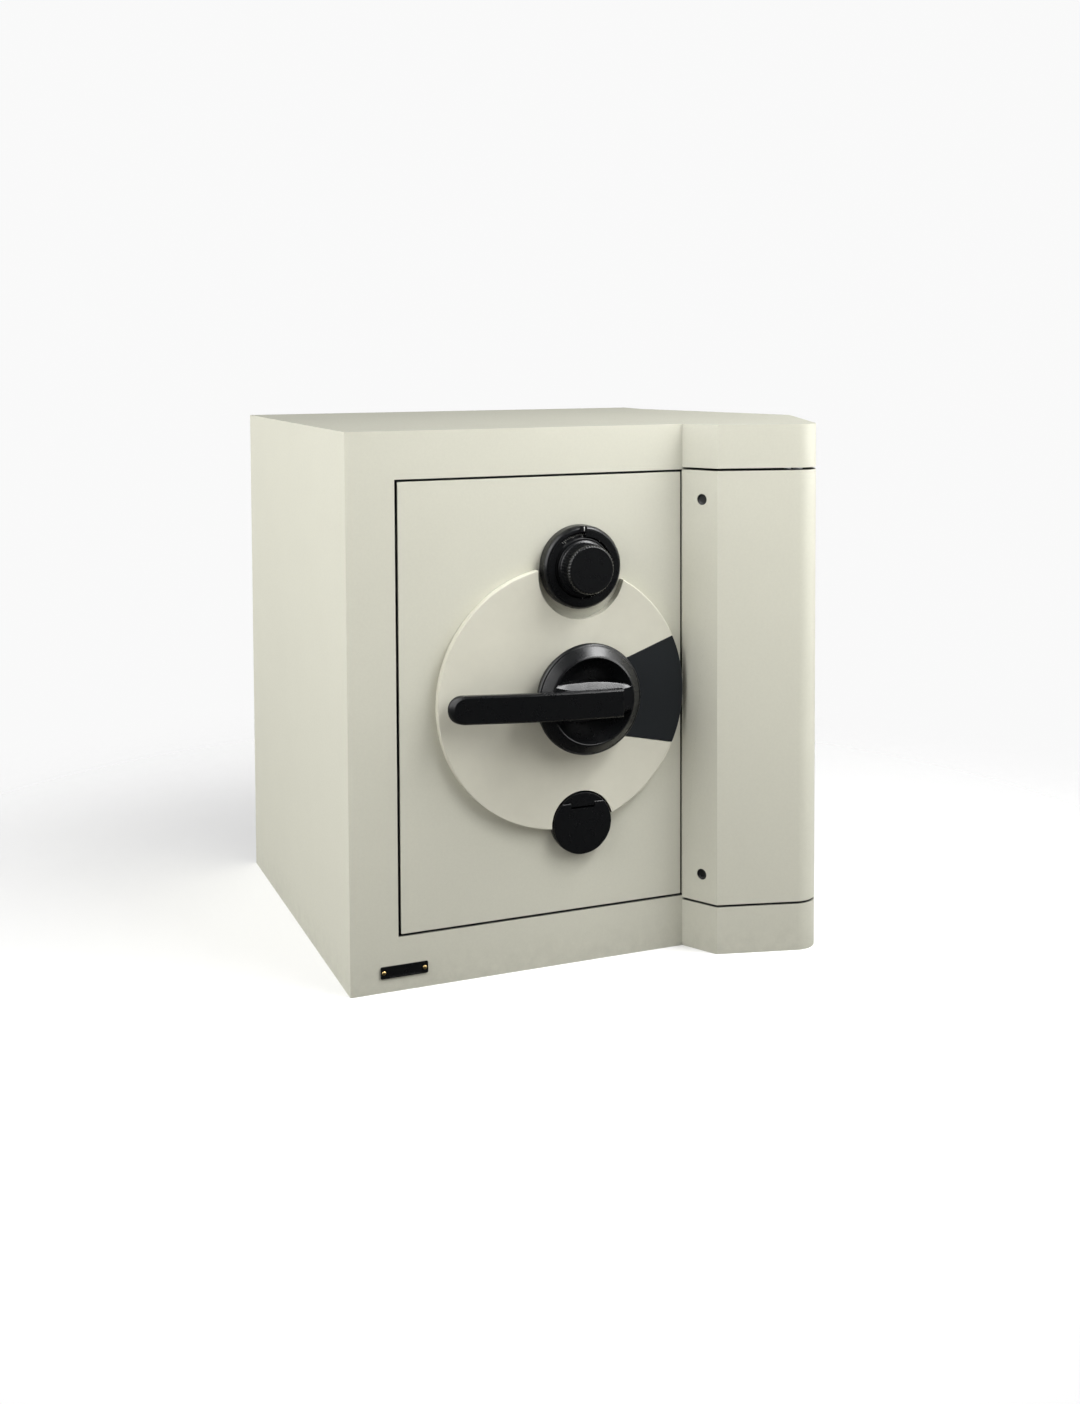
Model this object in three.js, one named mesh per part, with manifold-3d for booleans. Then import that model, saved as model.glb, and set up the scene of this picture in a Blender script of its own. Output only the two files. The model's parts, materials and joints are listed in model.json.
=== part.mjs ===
// A free-standing security safe: a filled steel body with a hinge bulge on its right side, and a thick
// door with a combination dial, a lever handle that throws the boltwork, and a covered keyway.
// Millimetres, +Z up, +Y to the back. The origin is the middle of the body's base, on the floor.
// Rest position: door shut, bolts and lock bolts withdrawn.
import * as THREE from "three";
import { mergeVertices } from "three/addons/utils/BufferGeometryUtils.js";
import Module from "manifold-3d";

const wasm = await Module();
wasm.setup();

// ---- driving dimensions ----
const WIDTH = 570;
const DEPTH = 504;
const HEIGHT = 630;
const LEFT = -WIDTH / 2;
const RIGHT = WIDTH / 2;
const FRONT = -DEPTH / 2;
const BACK = DEPTH / 2;
const SHEET = 4; // thickness of the outer casing
const GAP = 0.4; // between pieces that touch

// Plan of the hinge bulge: chamfer, slanted front, rounded corner, and a flank that flares and then
// runs back to the side.
const BULGE_ROOT = [127, FRONT];
const BULGE_CHAMFER = [151.5, -294.5];
const BULGE_CORNER = [269.5, -325.5];
const BULGE_CORNER_RADIUS = 27;
const BULGE_FLARE = [368, -94.5];
const BULGE_END = [RIGHT, 188];
const SEAM = { low: [56.2, 59.2], high: [575.8, 578.8] }; // gaps between the column and the fixed caps

const PIVOT = [253.8, -293.5]; // hinge axis, concentric with the rounded corner
const COLUMN_BACK_RADIUS = 45.5;
const COLUMN_CLEARANCE = 3;
const COLUMN_WALL = 6;
const PIN_RADIUS = 12;
const BOSS_RADIUS = 22;
const TUBE_RADIUS = 20;
const BUSH_RADIUS = 14.3;
const BALL = { radius: 8.8, z: 105 };

// Door opening in the front, and the parts of the door behind it.
const OPENING = { x: [-229, 229], z: [61, 576] };
const THROAT = { x: [-218, 228], z: [75, 562] };
const DOOR_PLATE = { x: [-225.5, 124.5], z: [64, 573.2] };
const PLUG = { x: [-194, 225], z: [78, 559] };
const DEAD_BAR = { x: 240, y: [-207, -185], z: [110, 527] };
const PLATE_DEPTH = 12;
const SLAB = [12.4, 30]; // depths behind the door's front face
const HARD_PLATE = [30.4, 36.4];
const PAN = [30.4, 99];
const COVER = [99.4, 102];
const LAYER_A = [48, 56];
const LAYER_B = [58, 66];
const LOCK_CASE = [39, 71];
const BOLT_DEPTH = 56;

const LOCK_X = -8;
const DIAL_Z = 468;
const HANDLE_Z = 318;
const KEY_Z = 168;

const BOLT_RADIUS = 11;
const BOLT_HEIGHTS = { upper: 486, middle: HANDLE_Z, lower: 150 };
const TOP_BOLT_X = 50;
const BOTTOM_BOLT_X = -66;
const MODULE = 3;
const PINION_TEETH = 16;
const PINION_RADIUS = (MODULE * PINION_TEETH) / 2;

const CABIN = { x: [-214, 214], y: [-148, 192], z: [79, 558] };
const LINER = 3;
const ANCHOR = { x: 120, y: 60, radius: 8 };
const SHELF = { z: 318, front: -110, height: 22, sheet: 2 };
const RAIL = { y: [-100, 180], height: 20, reach: 16 };

// ---- materials ----
const finish = (color, roughness, metalness) =>
  new THREE.MeshStandardMaterial({ color, roughness, metalness });
const creamPaint = finish(0xd9d7cb, 0.55, 0.1);
const ivoryPlastic = finish(0xd8d3c2, 0.5, 0);
const blackPlastic = finish(0x101214, 0.35, 0);
const slatePlastic = finish(0x262b30, 0.4, 0);
const concrete = finish(0x9a978f, 0.95, 0);
const greyPaint = finish(0x8b8f92, 0.6, 0.1);
const steel = finish(0xb4b7ba, 0.35, 0.9);
const hardSteel = finish(0x5d6165, 0.5, 0.8);
const brass = finish(0xb5975a, 0.35, 0.9);
const sealRubber = finish(0x2c2c2c, 0.9, 0);

// ---- solids ----
function solidOf(geometry) {
  const bare = new THREE.BufferGeometry();
  bare.setAttribute("position", geometry.getAttribute("position"));
  bare.setIndex(geometry.index);
  const merged = mergeVertices(bare, 1e-4);
  const index = merged.index.array;
  const triVerts = [];
  for (let i = 0; i < index.length; i += 3) {
    const [a, b, c] = index.subarray(i, i + 3);
    if (a !== b && b !== c && c !== a) triVerts.push(a, b, c);
  }
  const vertProperties = merged.getAttribute("position").array;
  return new wasm.Manifold(
    new wasm.Mesh({ numProp: 3, vertProperties, triVerts: new Uint32Array(triVerts) }),
  );
}

function geometryOf(solid) {
  const mesh = solid.getMesh();
  const positions = new Float32Array(mesh.numVert * 3);
  for (let i = 0; i < mesh.numVert; i++) {
    const first = i * mesh.numProp;
    positions.set(mesh.vertProperties.subarray(first, first + 3), i * 3);
  }
  const geometry = new THREE.BufferGeometry();
  geometry.setAttribute("position", new THREE.BufferAttribute(positions, 3));
  geometry.setIndex(new THREE.BufferAttribute(mesh.triVerts, 1));
  geometry.computeVertexNormals();
  return geometry;
}

function piece(group, name, solid, material) {
  const mesh = new THREE.Mesh(geometryOf(solid), material);
  mesh.name = name;
  group.add(mesh);
}

const cut = (solid, ...tools) => tools.reduce((left, tool) => left.subtract(tool), solid);
const join = (solid, ...more) => more.reduce((sum, next) => sum.add(next), solid);

// A block from its low and high limits along each axis.
function block([x0, x1], [y0, y1], [z0, z1]) {
  const geometry = new THREE.BoxGeometry(x1 - x0, y1 - y0, z1 - z0);
  return solidOf(geometry.translate((x0 + x1) / 2, (y0 + y1) / 2, (z0 + z1) / 2));
}

// A round bar along an axis, through the point given by the two other coordinates.
function rod(axis, radius, [u, v], [from, to], sides = 20) {
  const geometry = new THREE.CylinderGeometry(radius, radius, to - from, sides);
  geometry.translate(0, (from + to) / 2, 0);
  if (axis === "x") geometry.rotateZ(-Math.PI / 2).translate(0, u, v);
  if (axis === "y") geometry.translate(u, 0, v);
  if (axis === "z") geometry.rotateX(Math.PI / 2).translate(u, v, 0);
  return solidOf(geometry);
}

// A turned shape about the Y direction through (x, z). The profile is a list of [radius, y], from low y
// to high y.
function turned(profile, [x, z] = [0, 0], sides = 32) {
  const points = profile.map(([radius, y]) => new THREE.Vector2(radius, y));
  return solidOf(new THREE.LatheGeometry(points, sides).translate(x, 0, z));
}

const outline = (points) => new THREE.Shape(points.map(([u, v]) => new THREE.Vector2(u, v)));

// An upright prism on a plan outline.
function prism(points, [z0, z1]) {
  const geometry = new THREE.ExtrudeGeometry(outline(points), { depth: z1 - z0, bevelEnabled: false });
  return solidOf(geometry.translate(0, 0, z0));
}

// A flat plate whose outline is drawn on the door's face, in x and z.
function plate(points, [y0, y1]) {
  const geometry = new THREE.ExtrudeGeometry(outline(points), { depth: y1 - y0, bevelEnabled: false });
  return solidOf(geometry.rotateX(Math.PI / 2).translate(0, y1, 0));
}

// ---- plan outlines ----
const DEGREE = Math.PI / 180;

function arc([cx, cy], radius, fromDegrees, toDegrees, steps) {
  return Array.from({ length: steps + 1 }, (_, i) => {
    const angle = (fromDegrees + ((toDegrees - fromDegrees) * i) / steps) * DEGREE;
    return [cx + radius * Math.cos(angle), cy + radius * Math.sin(angle)];
  });
}

// A corner between two straight edges, rounded with the given radius.
function roundedCorner(before, corner, after, radius, steps) {
  const [a, c, b] = [before, corner, after].map(([x, y]) => new THREE.Vector2(x, y));
  const toA = a.clone().sub(c).normalize();
  const toB = b.clone().sub(c).normalize();
  const half = Math.acos(toA.dot(toB)) / 2;
  const middle = toA.clone().add(toB).normalize();
  const centre = c.clone().addScaledVector(middle, radius / Math.sin(half));
  const reach = radius / Math.tan(half);
  const start = c.clone().addScaledVector(toA, reach).sub(centre).angle();
  const end = c.clone().addScaledVector(toB, reach).sub(centre).angle();
  const turn = ((end - start + 3 * Math.PI) % (2 * Math.PI)) - Math.PI;
  return arc(centre.toArray(), radius, start / DEGREE, (start + turn) / DEGREE, steps);
}

// The outline moved inwards by a distance. Its points run anticlockwise.
function inset(points, distance) {
  const lines = points.map(([x, y], i) => {
    const [nextX, nextY] = points[(i + 1) % points.length];
    const length = Math.hypot(nextX - x, nextY - y);
    const normal = [-(nextY - y) / length, (nextX - x) / length];
    return { normal, offset: normal[0] * x + normal[1] * y + distance };
  });
  return lines.map((line, i) => {
    const last = lines[(i + lines.length - 1) % lines.length];
    const [a, b] = last.normal;
    const [c, d] = line.normal;
    const det = a * d - b * c;
    return [(last.offset * d - b * line.offset) / det, (a * line.offset - last.offset * c) / det];
  });
}

const bulgeFront = [
  BULGE_ROOT,
  BULGE_CHAMFER,
  ...roundedCorner(BULGE_CHAMFER, BULGE_CORNER, BULGE_FLARE, BULGE_CORNER_RADIUS, 8),
];
const insideBody = [[200, BULGE_END[1]], [BULGE_ROOT[0], 0]];
const bulge = [...bulgeFront, BULGE_FLARE, BULGE_END, ...insideBody];

// The angle at which a circle about the pivot crosses the flank, and the one at which it meets a given y.
function flankAngle(radius) {
  const [cx, cy] = BULGE_CORNER;
  const run = [BULGE_FLARE[0] - cx, BULGE_FLARE[1] - cy];
  const length = Math.hypot(...run);
  const way = [run[0] / length, run[1] / length];
  const from = [cx - PIVOT[0], cy - PIVOT[1]];
  const along = from[0] * way[0] + from[1] * way[1];
  const reach = -along + Math.sqrt(along * along - (from[0] ** 2 + from[1] ** 2 - radius * radius));
  return Math.atan2(from[1] + way[1] * reach, from[0] + way[0] * reach) / DEGREE;
}
const leftAngle = (radius, y) => 180 - Math.asin((y - PIVOT[1]) / radius) / DEGREE;

const COLUMN_LEFT = BULGE_ROOT[0] - 0.5;
const columnFront = [
  [COLUMN_LEFT, FRONT],
  ...bulgeFront.slice(1),
  ...arc(
    PIVOT,
    COLUMN_BACK_RADIUS,
    flankAngle(COLUMN_BACK_RADIUS),
    leftAngle(COLUMN_BACK_RADIUS, FRONT),
    12,
  ),
];

// The room that the column turns in, grown by an amount towards the body.
function columnRoom(grow) {
  const radius = COLUMN_BACK_RADIUS + COLUMN_CLEARANCE + grow;
  const y = FRONT + grow;
  const sweep = arc(PIVOT, radius, leftAngle(radius, y), 20, 14);
  const side = sweep.at(-1)[1];
  const [left, outside] = [COLUMN_LEFT - 26.5, 420];
  const plan = [[left, -outside], [outside, -outside], [outside, side], ...sweep.reverse(), [left, y]];
  return prism(plan, [SEAM.low[0] - grow, SEAM.high[1] + grow]);
}

// The space inside the casing's skin, or the whole body where the distance is 0.
function bodyShape(distance) {
  const limits = (low, high) => [low + distance, high - distance];
  const bulgePlan = distance ? inset(bulge, distance) : bulge;
  return join(
    block(limits(LEFT, RIGHT), limits(FRONT, BACK), limits(0, HEIGHT)),
    prism(bulgePlan, limits(0, HEIGHT)),
  );
}

const anchorHole = (radius) => rod("z", radius, [ANCHOR.x, ANCHOR.y], [-10, 100]);
const depth = ([from, to]) => [FRONT + from, FRONT + to];
const grown = ([low, high], by) => [low - by, high + by];

// ---- fixed body ----
function outerCasing(body) {
  const opening = block(OPENING.x, [FRONT - 10, FRONT + SHEET + 0.1], OPENING.z);
  const pinHoles = rod("z", PIN_RADIUS + 0.6, PIVOT, grown([SEAM.low[0], SEAM.high[1]], SHEET + 2));
  const skin = cut(bodyShape(0), cut(bodyShape(SHEET), columnRoom(SHEET)), columnRoom(0), opening);
  piece(body, "outer_casing", cut(skin, pinHoles, anchorHole(ANCHOR.radius)), creamPaint);
}

const FRAME = { x: [-262, 275], z: [28, 609], y: [FRONT + SHEET + GAP, CABIN.y[0] - GAP] };
const REBATE_Y = FRONT + 13.5;

function barrierFill(body) {
  const linerRoom = block(
    grown(CABIN.x, LINER + GAP),
    [CABIN.y[0] - 1, CABIN.y[1] + LINER + GAP],
    grown(CABIN.z, LINER + GAP),
  );
  const frameRoom = block(grown(FRAME.x, GAP), [FRONT, CABIN.y[0] - GAP / 2], grown(FRAME.z, GAP));
  const bossRoom = rod("z", BOSS_RADIUS + GAP, PIVOT, [0, HEIGHT]);
  const fill = cut(bodyShape(SHEET + GAP), columnRoom(SHEET + GAP), linerRoom, frameRoom, bossRoom);
  piece(body, "barrier_fill", cut(fill, anchorHole(ANCHOR.radius + 1.5)), concrete);
}

function doorFrame(body) {
  const pocket = BOLT_RADIUS + 1;
  const pocketY = FRONT + BOLT_DEPTH;
  const throughY = grown(FRAME.y, 10);
  const sidePockets = Object.values(BOLT_HEIGHTS).map((z) =>
    rod("x", pocket, [pocketY, z], [-236, -200], 16),
  );
  const deadBarPocket = block([200, DEAD_BAR.x + 4], grown(DEAD_BAR.y, 4.5), grown(DEAD_BAR.z, 5));
  const frame = cut(
    block(FRAME.x, FRAME.y, FRAME.z),
    block(OPENING.x, [throughY[0], REBATE_Y], OPENING.z),
    block(THROAT.x, throughY, THROAT.z),
    block([-227.3, THROAT.x[1] + 0.5], [REBATE_Y - 1, REBATE_Y + 2], [64.7, 572.3]),
    columnRoom(SHEET + GAP),
    ...sidePockets,
    rod("z", pocket, [TOP_BOLT_X, pocketY], [550, 590], 16),
    rod("z", pocket, [BOTTOM_BOLT_X, pocketY], [47, 90], 16),
    deadBarPocket,
  );
  piece(body, "door_frame", frame, greyPaint);
}

// Intumescent strip round the left, top and bottom of the rebate.
function doorSeal(body) {
  const y = [REBATE_Y - 1, REBATE_Y + 1.6];
  const seal = cut(
    block([-227, 222], y, [65, 572]),
    block([-219.5, 230], [y[0] - 1, y[1] + 1], [73, 564]),
  );
  piece(body, "door_seal", seal, sealRubber);
}

// The lined cabin with its shelf on two rails.
function interior(body) {
  const liner = cut(
    block(grown(CABIN.x, LINER), [CABIN.y[0], CABIN.y[1] + LINER], grown(CABIN.z, LINER)),
    block(CABIN.x, [CABIN.y[0] - 1, CABIN.y[1]], CABIN.z),
    rod("z", ANCHOR.radius + 1.5, [ANCHOR.x, ANCHOR.y], [70, 90]),
  );
  piece(body, "inner_liner", liner, greyPaint);

  const { z, front, height, sheet } = SHELF;
  const shelfX = grown(CABIN.x, -2);
  const shelf = cut(
    block(shelfX, [front, CABIN.y[1] - 2], [z, z + height]),
    block(grown(shelfX, 1), [front + sheet, CABIN.y[1]], [z + sheet, z + height + 10]),
  );
  piece(body, "shelf", shelf, greyPaint);

  for (const [name, side] of [["left", -1], ["right", 1]]) {
    const wall = side * (CABIN.x[1] - GAP);
    const span = (width) => [wall, wall - side * width].sort((a, b) => a - b);
    const rail = join(
      block(span(sheet), RAIL.y, [z - RAIL.height, z - GAP]),
      block(span(RAIL.reach), RAIL.y, [z - GAP - sheet, z - GAP]),
    );
    piece(body, `shelf_rail_${name}`, rail, steel);
  }
}

// Plug that closes the floor anchor's hole from inside the cabin. The profile is a list of [radius, z].
function anchorPlug(body) {
  const seat = CABIN.z[0] + GAP;
  const profile = [[0, 74], [9, 74], [9, seat], [14, seat], [13, 82], [0, 82]];
  const points = profile.map(([radius, z]) => new THREE.Vector2(radius, z));
  const geometry = new THREE.LatheGeometry(points, 20).rotateX(Math.PI / 2);
  piece(body, "anchor_plug", solidOf(geometry.translate(ANCHOR.x, ANCHOR.y, 0)), blackPlastic);
}

const ID_PLATE = { x: [-250.3, -194.8], z: 23, half: 6.8, sheet: 1.2 };
const RIVETS = { left: -246.5, right: -198.7 };

// Blank identification plate at the lower left of the front, with its two rivets.
function idPlate(body) {
  const { x, z, half, sheet } = ID_PLATE;
  const face = FRONT - 0.3;
  const holes = Object.values(RIVETS).map((at) => rod("y", 1.5, [at, z], grown([face, face], 5), 16));
  const blank = cut(block(x, [face - sheet, face], [z - half, z + half]), ...holes);
  piece(body, "serial_plate", blank, blackPlastic);
  const y = face - sheet - 0.3;
  const profile = [[0, y - 1.3], [1.6, y - 1], [2.5, y], [1.2, y], [1.2, face], [0, face]];
  for (const [name, at] of Object.entries(RIVETS)) {
    piece(body, `plate_rivet_${name}`, turned(profile, [at, z], 20), brass);
  }
}

// Bosses inside the caps hold the hinge pins, and the lower pin carries the door on a ball.
function hingeOnBody(body) {
  const bottom = { boss: [SHEET + GAP, SEAM.low[0] - SHEET - GAP], pin: [10, 95.7] };
  const top = { boss: [SEAM.high[1] + SHEET + GAP, HEIGHT - SHEET - GAP], pin: [542, 620] };
  for (const [name, { boss, pin }] of Object.entries({ bottom, top })) {
    const bore = rod("z", PIN_RADIUS + 0.3, PIVOT, grown(pin, 0.3));
    piece(body, `hinge_boss_${name}`, cut(rod("z", BOSS_RADIUS, PIVOT, boss), bore), hardSteel);
    piece(body, `hinge_pin_${name}`, rod("z", PIN_RADIUS, PIVOT, pin), steel);
  }
  const ball = new THREE.SphereGeometry(BALL.radius, 16, 8).translate(...PIVOT, BALL.z);
  piece(body, "hinge_ball", solidOf(ball), steel);
}

// ---- door ----
const spindleHoles = (y) => [
  rod("y", 9, [LOCK_X, HANDLE_Z], y),
  rod("y", 5.5, [LOCK_X, DIAL_Z], y),
  rod("y", 10.8, [LOCK_X, KEY_Z], y),
];

function doorLeaf(door) {
  const through = [FRONT - 20, FRONT + 60];
  const holes = spindleHoles(through);
  const front = cut(block(DOOR_PLATE.x, depth([0, PLATE_DEPTH]), DOOR_PLATE.z), ...holes);
  piece(door, "door_front_plate", front, creamPaint);

  const slab = cut(block([-212, 224.6], depth(SLAB), PLUG.z), ...holes);
  piece(door, "door_slab", slab, concrete);
  piece(door, "hard_plate", cut(block([-84, 68], depth(HARD_PLATE), [110, 526]), ...holes), hardSteel);

  const wall = 4;
  const inner = ([low, high]) => [low + wall, high - wall];
  const boltY = FRONT + BOLT_DEPTH;
  const sideHoles = Object.values(BOLT_HEIGHTS).map((z) =>
    rod("x", BOLT_RADIUS + 0.4, [boltY, z], [PLUG.x[0] - 5, PLUG.x[0] + 10]),
  );
  const pan = cut(
    block(PLUG.x, depth(PAN), PLUG.z),
    block(inner(PLUG.x), depth(grown(PAN, 1)), inner(PLUG.z)),
    ...sideHoles,
    rod("z", BOLT_RADIUS + 0.4, [TOP_BOLT_X, boltY], [PLUG.z[1] - 10, PLUG.z[1] + 5]),
    rod("z", BOLT_RADIUS + 0.4, [BOTTOM_BOLT_X, boltY], [PLUG.z[0] - 5, PLUG.z[0] + 10]),
  );
  piece(door, "door_pan", pan, greyPaint);
  piece(door, "back_cover", block(PLUG.x, depth(COVER), PLUG.z), greyPaint);
  piece(door, "hinge_dead_bar", block([PLUG.x[1] + GAP, DEAD_BAR.x], DEAD_BAR.y, DEAD_BAR.z), steel);
}

const COLUMN_HEIGHT = [SEAM.low[1], SEAM.high[0]];
const PLUG_HEIGHTS = { top: 541.5, bottom: 92.4 }; // the two plugs in the column's chamfer
const PLUG_RADIUS = 6.3;
const PLUG_MIDDLE = [140.8, -276];

// A round bar that runs inwards from the column's chamfer, square to it.
function chamferRod(radius, [from, to], z) {
  const along = new THREE.Vector2(...BULGE_CHAMFER).sub(new THREE.Vector2(...BULGE_ROOT)).normalize();
  const inward = new THREE.Vector3(-along.y, along.x, 0);
  const bar = new THREE.CylinderGeometry(radius, radius, to - from, 24);
  bar.translate(0, (from + to) / 2, 0);
  bar.applyQuaternion(new THREE.Quaternion().setFromUnitVectors(new THREE.Vector3(0, 1, 0), inward));
  return solidOf(bar.translate(...PLUG_MIDDLE, z));
}

// The steel shell of the column, which carries on behind the door plate as far as the door's plug.
function hingeColumn(door) {
  const shell = cut(
    join(
      prism(columnFront, COLUMN_HEIGHT),
      block([COLUMN_LEFT, PLUG.x[1]], [FRONT - 1, FRONT + PLATE_DEPTH], DOOR_PLATE.z),
    ),
    prism(inset(columnFront, COLUMN_WALL), grown(COLUMN_HEIGHT, -COLUMN_WALL)),
    rod("z", PIN_RADIUS + 1, PIVOT, grown(COLUMN_HEIGHT, 5)),
    ...Object.values(PLUG_HEIGHTS).map((z) => chamferRod(PLUG_RADIUS + 0.3, [-5, COLUMN_WALL + 2], z)),
  );
  piece(door, "hinge_column", shell, creamPaint);
  for (const [name, z] of Object.entries(PLUG_HEIGHTS)) {
    const plug = chamferRod(PLUG_RADIUS, [0.6, COLUMN_WALL - 0.5], z);
    piece(door, `column_plug_${name}`, plug, blackPlastic);
  }
}

// Inside the column: a tube with a brass bush for each hinge pin and room for the ball, set in filling.
function columnCore(door) {
  const height = grown(COLUMN_HEIGHT, -COLUMN_WALL - GAP);
  const bushes = { bottom: [height[0] + GAP, 92], top: [height[1] - 30.6, height[1] - GAP] };
  const bore = BUSH_RADIUS + 0.3;
  const tube = cut(
    rod("z", TUBE_RADIUS, PIVOT, height),
    rod("z", bore, PIVOT, [height[0] - 1, bushes.bottom[1] + 4]),
    rod("z", BALL.radius + 0.6, PIVOT, [bushes.bottom[1] - 2, BALL.z + BALL.radius + 0.5]),
    rod("z", bore, PIVOT, [bushes.top[0] - GAP, height[1] + 1]),
  );
  piece(door, "column_tube", tube, hardSteel);
  const core = prism(inset(columnFront, COLUMN_WALL + GAP), height);
  piece(door, "column_fill", cut(core, rod("z", TUBE_RADIUS + GAP, PIVOT, COLUMN_HEIGHT)), concrete);
  for (const [name, span] of Object.entries(bushes)) {
    const hole = rod("z", PIN_RADIUS + 0.3, PIVOT, grown(span, 1));
    piece(door, `hinge_bush_${name}`, cut(rod("z", BUSH_RADIUS, PIVOT, span), hole), brass);
  }
}

const DISC = { centre: [-28, 318], radius: 155.6, depth: 10 };
const SECTOR = [[20, 272.6], [230, 228], [230, 425], [20, 347.7]];

// Round trim plate round the three controls, with a dark sector on its right.
function trim(door) {
  const { centre, radius } = DISC;
  const y = [FRONT - 0.3 - DISC.depth, FRONT - 0.3];
  const through = grown(y, 5);
  const rim = [[0, y[0]], [radius - 3, y[0]], [radius, y[0] + 2.5], [radius, y[1]], [0, y[1]]];
  const blank = turned(rim, centre, 60);
  const openings = [
    rod("y", 54, [LOCK_X, 461], through, 40),
    rod("y", 38.3, [LOCK_X, KEY_Z], through, 32),
    rod("y", 20, [LOCK_X, HANDLE_Z], through),
  ];
  piece(door, "trim_disc", cut(blank, ...openings, plate(SECTOR, through)), ivoryPlastic);
  const wedge = blank.intersect(plate(inset(SECTOR, GAP), through));
  const besideColumn = prism(inset(columnFront, -0.6), [200, 440]);
  piece(door, "trim_sector", cut(wedge, openings.at(-1), besideColumn), slatePlastic);
}

// ---- controls: y = 0 is the door's front face, and negative y is in front of it ----
function controlGroup(parent, z) {
  const group = new THREE.Group();
  group.position.set(LOCK_X, FRONT, z);
  parent.add(group);
  return group;
}

function lockCase(group, name, height, extras) {
  const [front, back] = LOCK_CASE;
  const wall = 3;
  const half = 30;
  const shell = cut(
    block([-half, half], [front, back], height),
    block([-half + wall, half - wall], [front + wall, back + 5], [height[0] + wall, height[1] - wall]),
  );
  piece(group, `${name}_case`, extras(shell), steel);
  piece(group, `${name}_cover`, block([-half, half], [back + GAP, back + 3], height), steel);
}

const LOCK_BOLT = { x: [-6, 6], depth: [58.5, 68] };
const lockBoltHole = (z) => block([-6.4, 6.4], [LOCK_BOLT.depth[0] - 0.4, LOCK_BOLT.depth[1] + 0.4], z);

function combinationLock(door) {
  const fixed = controlGroup(door, DIAL_Z);
  const wall = [[41, -16], [46, -16], [48.7, -12], [48.7, -0.3]];
  const floor = [[9, -0.3], [9, -3], [41, -3], [41, -16]];
  piece(fixed, "dial_ring", turned([...wall, ...floor]), blackPlastic);
  lockCase(fixed, "combination_lock", [-42, 43], (shell) => {
    const post = cut(rod("y", 6.2, [0, 0], [41, 56]), rod("y", 4.6, [0, 0], [30, 60]));
    return cut(join(cut(shell, rod("y", 4.6, [0, 0], [30, 60])), post), lockBoltHole([-50, -36]));
  });

  const dial = controlGroup(door, DIAL_Z);
  const bored = (solid) => cut(solid, rod("y", 4.3, [0, 0], [-30, 80]));
  const flange = turned([[0, -15], [34, -15], [40, -9], [40, -4], [0, -4]]);
  const knob = turned([[0, -40], [25, -40], [29, -36.5], [29, -15.4], [0, -15.4]]);
  const camNotch = block([-3, 3], [50, 70], [10, 20]);
  piece(dial, "dial_flange", bored(flange), blackPlastic);
  piece(dial, "dial_knob", bored(knob), blackPlastic);
  piece(dial, "dial_spindle", rod("y", 4, [0, 0], [-30, 63.5], 20), steel);
  piece(dial, "drive_cam", cut(bored(rod("y", 15, [0, 0], [58.5, 62.5])), camNotch), brass);

  for (let i = 0; i < 3; i++) {
    const wheel = controlGroup(door, DIAL_Z);
    const y = [43 + 4.3 * i, 46 + 4.3 * i];
    const gate = block([-2.5, 2.5], grown(y, 1), [17, 30]);
    const disc = cut(rod("y", 23, [0, 0], y), rod("y", 6.5, [0, 0], grown(y, 1)), gate);
    piece(wheel, `code_wheel_${i + 1}`, disc, brass);
  }
  const bolt = controlGroup(door, DIAL_Z);
  piece(bolt, "combination_lock_bolt", block(LOCK_BOLT.x, LOCK_BOLT.depth, [-42, -16]), brass);
}

const FLAP_PIN = [-10.4, 23.4]; // y and z of the key cover's hinge
const FLAP_HALF = 1.6;
const TONGUE = [-14, 14];

function keyLock(door) {
  const fixed = controlGroup(door, KEY_Z);
  const radius = 36.5;
  const front = FLAP_PIN[0] - FLAP_HALF;
  const back = FLAP_PIN[0] + FLAP_HALF;
  const round = (y) => rod("y", radius, [0, 0], y, 32);
  const pinHole = rod("x", 0.9, FLAP_PIN, [-28, 28], 12);
  const hingeRoom = rod("x", FLAP_HALF + 0.5, FLAP_PIN, [-26.5, 26.5]);

  const base = cut(
    join(
      cut(round([back + GAP, -0.3]), rod("y", 22, [0, 0], [-20, -3.2]), hingeRoom),
      round([front, -0.3]).intersect(block([-40, 40], [-20, 0], [25.8, 40])),
      block(TONGUE, [front, -0.3], [FLAP_PIN[1] - 3, 30]),
    ),
    rod("y", 10.8, [0, 0], [-10, 5]),
    pinHole,
  );
  piece(fixed, "key_escutcheon", base, blackPlastic);
  piece(fixed, "key_cover_pin", rod("x", 0.7, FLAP_PIN, [-22, 22], 8), steel);

  const flap = controlGroup(door, KEY_Z);
  const leaf = cut(
    join(
      round([front, back]).intersect(block([-40, 40], [-20, 0], [-40, FLAP_PIN[1]])),
      rod("x", FLAP_HALF, FLAP_PIN, [-26, 26]),
    ),
    block([TONGUE[0] - 0.4, TONGUE[1] + 0.4], [-20, 0], [FLAP_PIN[1] - 3.4, 40]),
    pinHole,
  );
  piece(flap, "key_cover_flap", leaf, blackPlastic);

  lockCase(fixed, "key_lock", [-43, 44], (shell) =>
    cut(shell, rod("y", 10.8, [0, 0], [30, 45]), lockBoltHole([36, 50])),
  );
  const drum = controlGroup(door, KEY_Z);
  const keyway = join(block([-1.5, 1.5], [-5, 20], [-8, 8]), rod("y", 2.6, [0, 0], [-5, 20], 12));
  piece(drum, "key_drum", cut(rod("y", 10.4, [0, 0], [-2.8, 57]), keyway), brass);
  const bolt = controlGroup(door, KEY_Z);
  piece(bolt, "key_lock_bolt", block(LOCK_BOLT.x, LOCK_BOLT.depth, [12, 44]), brass);
}

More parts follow.
